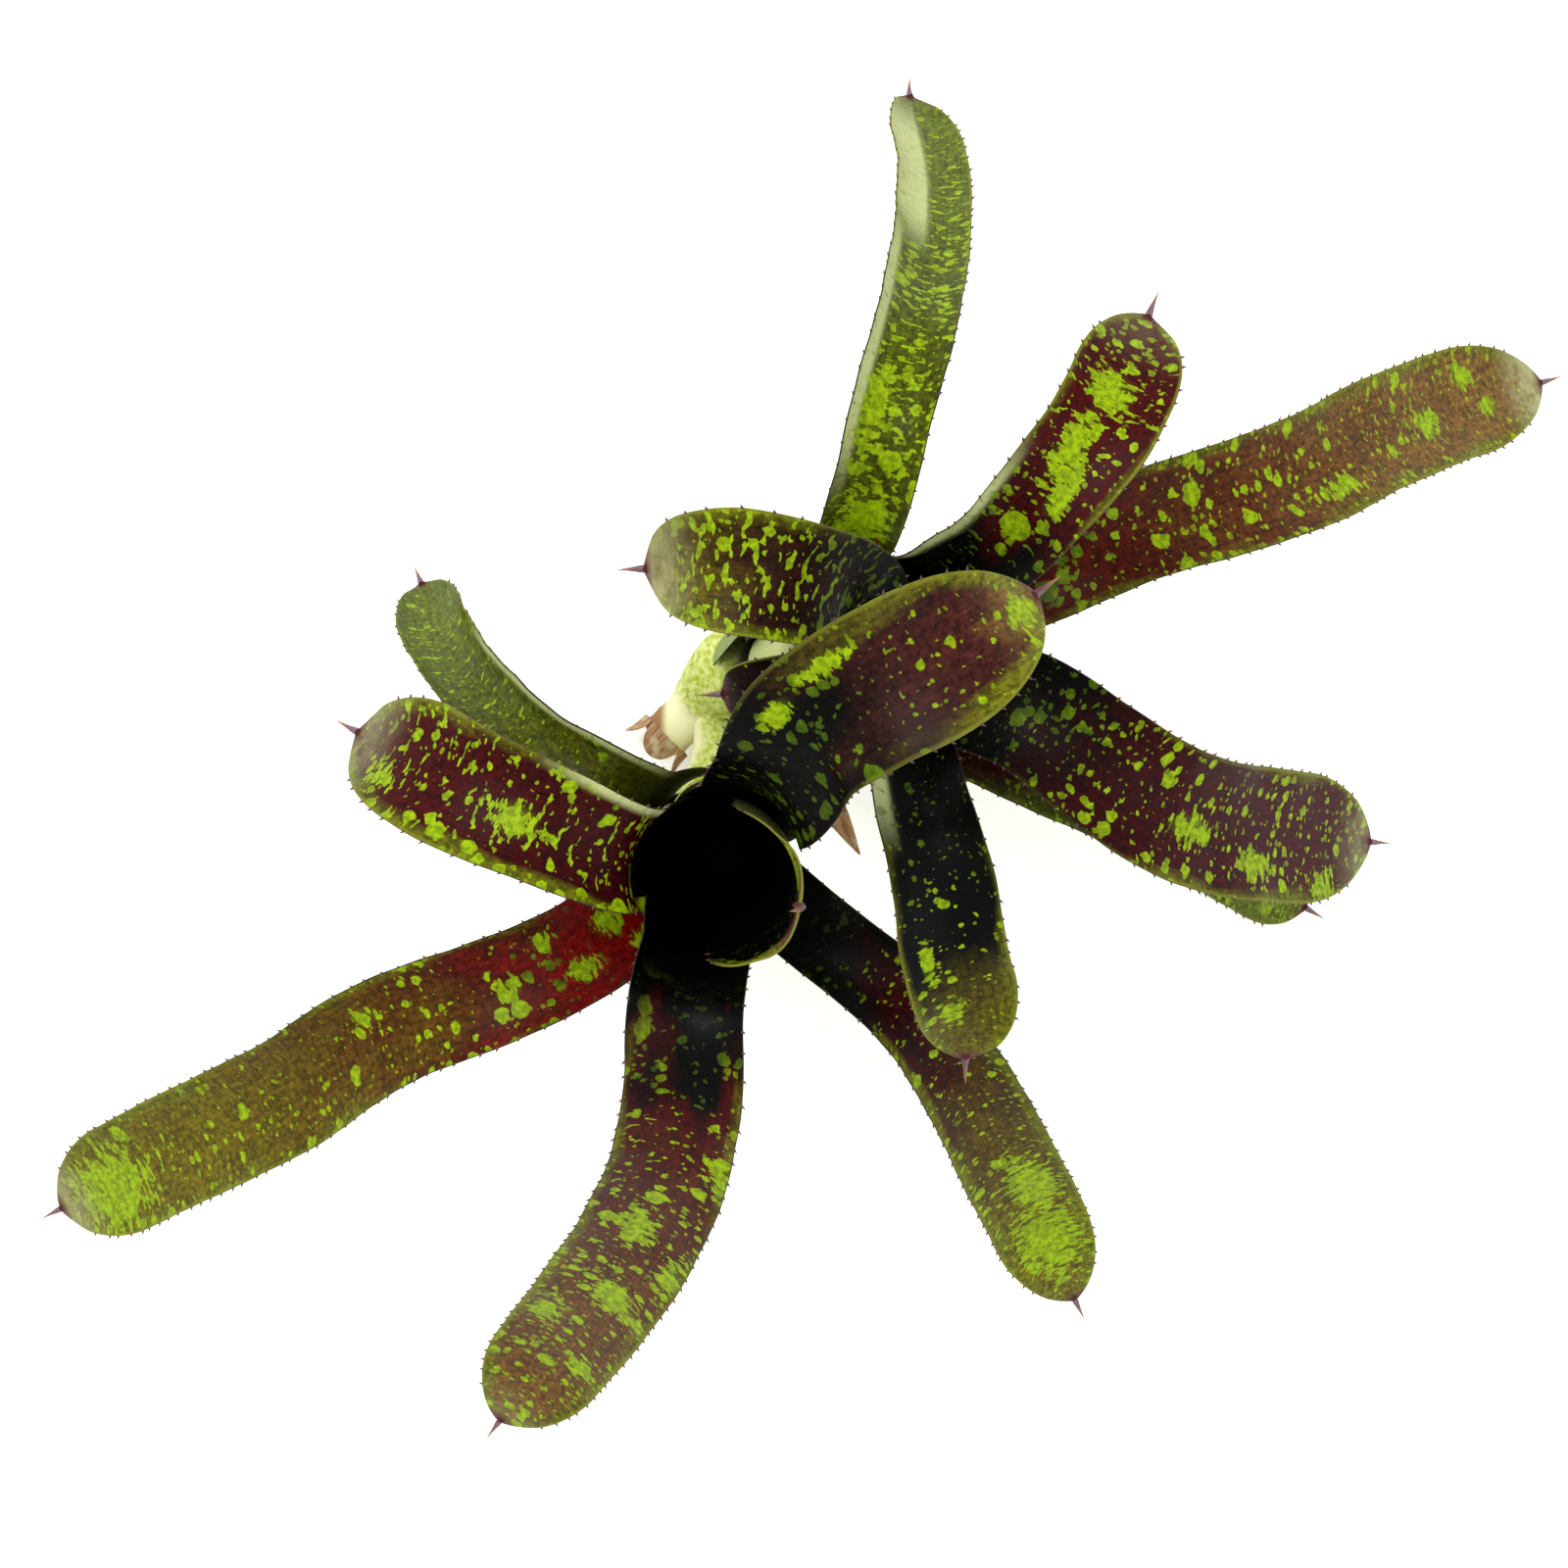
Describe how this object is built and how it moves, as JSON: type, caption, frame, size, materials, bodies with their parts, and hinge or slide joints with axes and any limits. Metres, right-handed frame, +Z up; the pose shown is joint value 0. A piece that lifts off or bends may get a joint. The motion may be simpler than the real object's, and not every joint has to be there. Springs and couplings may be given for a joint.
{
  "type": "neoregelia bromeliad",
  "caption": "Bare-root tubular bromeliad: two rosettes of spotted strap leaves with spined margins rise in a V from one short stolon, arching out and down to the surface.",
  "frame": {"origin": "middle of the small flat spot under the stolon's cut end, on the surface it rests on", "axes": "+Z up; +Y towards the topmost leaf tip and +X towards the far right leaf, as the plant is seen from above"},
  "size_m": [0.3272, 0.2928, 0.123],
  "materials": {
    "stem": "pale lime to cream, fleshy, satin",
    "leaf_maroon": "dark maroon with lime spots, glossy cuticle",
    "leaf_olive": "olive green with lime spots, glossy cuticle",
    "leaf_green": "green with lime mottling, satin",
    "leaf_red": "dark red with lime spots, glossy cuticle",
    "dry_scale": "dry, papery, matt"
  },
  "bodies": {
    "root": {"stem": "stem", "leaf_a1_far_left": "leaf_olive", "leaf_a2_upper_left": "leaf_maroon", "leaf_a3_behind_left": "leaf_green", "leaf_a4_over_b": "leaf_maroon", "leaf_a5_lower": "leaf_maroon", "leaf_a6_lower_right": "leaf_olive", "leaf_a7_inner": "leaf_maroon", "leaf_b1_top": "leaf_olive", "leaf_b2_upper_right": "leaf_red", "leaf_b3_far_right": "leaf_maroon", "leaf_b4_left": "leaf_olive", "leaf_b5_right_lower": "leaf_maroon", "leaf_b6_lower": "leaf_maroon", "leaf_b7_under_right": "leaf_green", "leaf_b9_small": "leaf_maroon", "scale_top": "dry_scale", "scale_left": "dry_scale", "scale_right": "dry_scale", "dry_bract": "dry_scale"}
  },
  "joints": []
}
